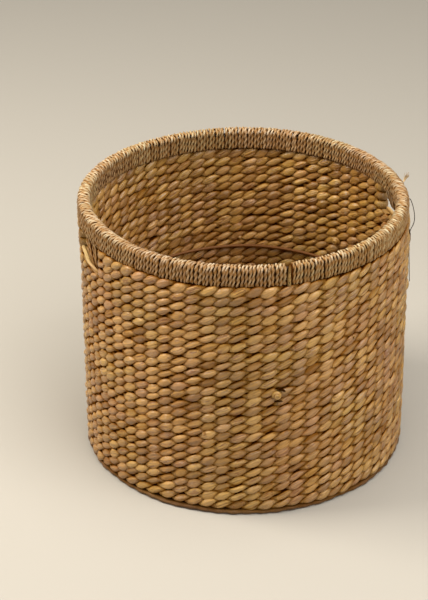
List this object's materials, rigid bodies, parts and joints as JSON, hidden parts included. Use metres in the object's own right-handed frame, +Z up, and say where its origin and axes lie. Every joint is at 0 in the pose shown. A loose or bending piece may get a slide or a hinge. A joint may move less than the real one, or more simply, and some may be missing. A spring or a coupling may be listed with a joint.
{
  "type": "laundry basket",
  "caption": "Round open laundry basket, its wall twined in thick plant strand over upright wires, with a cord-wrapped rim and a hand hole under the rim at each side.",
  "frame": {"origin": "centre of the underside, on the plane of the foot ring that the basket stands on", "axes": "+Z up towards the open rim; -Y towards the front; the hand holes are towards -X and +X, the one at -X a stake bay further to the front"},
  "size_m": [0.4239, 0.424, 0.35],
  "materials": {
    "hyacinth": "dried water hyacinth stem, matt with a soft waxy sheen, golden tan and pinkish tan with dark crevices",
    "seagrass_cord": "twisted seagrass cord, grey beige, matt and hairy",
    "core": "flat strip of cane, matt",
    "wire": "iron wire, dark brown coat",
    "hoop": "round iron hoop, dark brown coat, slightly worn",
    "thread": "thin dark plant thread"
  },
  "bodies": {
    "root": {"foot_course": "hyacinth", "wall_course_01": "hyacinth", "wall_course_02": "hyacinth", "wall_course_03": "hyacinth", "wall_course_04": "hyacinth", "wall_course_05": "hyacinth", "wall_course_06": "hyacinth", "wall_course_07": "hyacinth", "wall_course_08": "hyacinth", "wall_course_09": "hyacinth", "wall_course_10": "hyacinth", "wall_course_11": "hyacinth", "wall_course_12": "hyacinth", "wall_course_13": "hyacinth", "wall_course_14": "hyacinth", "wall_course_15": "hyacinth", "wall_course_16": "hyacinth", "wall_course_17": "hyacinth", "wall_course_18": "hyacinth", "wall_course_19": "hyacinth", "wall_course_20": "hyacinth", "wall_course_21": "hyacinth", "wall_course_22": "hyacinth", "wall_course_23": "hyacinth", "wall_course_24": "hyacinth", "wall_course_25": "hyacinth", "sill_left": "hyacinth", "sill_right": "hyacinth", "rim_core": "core", "rim_lashing": "seagrass_cord", "stakes": "wire", "base_spokes": "wire", "hub_ring": "wire", "bottom_hoop": "wire", "spreader_hoop": "hoop", "top_hoop": "wire", "base_weave_under": "hyacinth", "base_weave_upper": "hyacinth", "lashing_tail": "thread"}
  },
  "joints": []
}
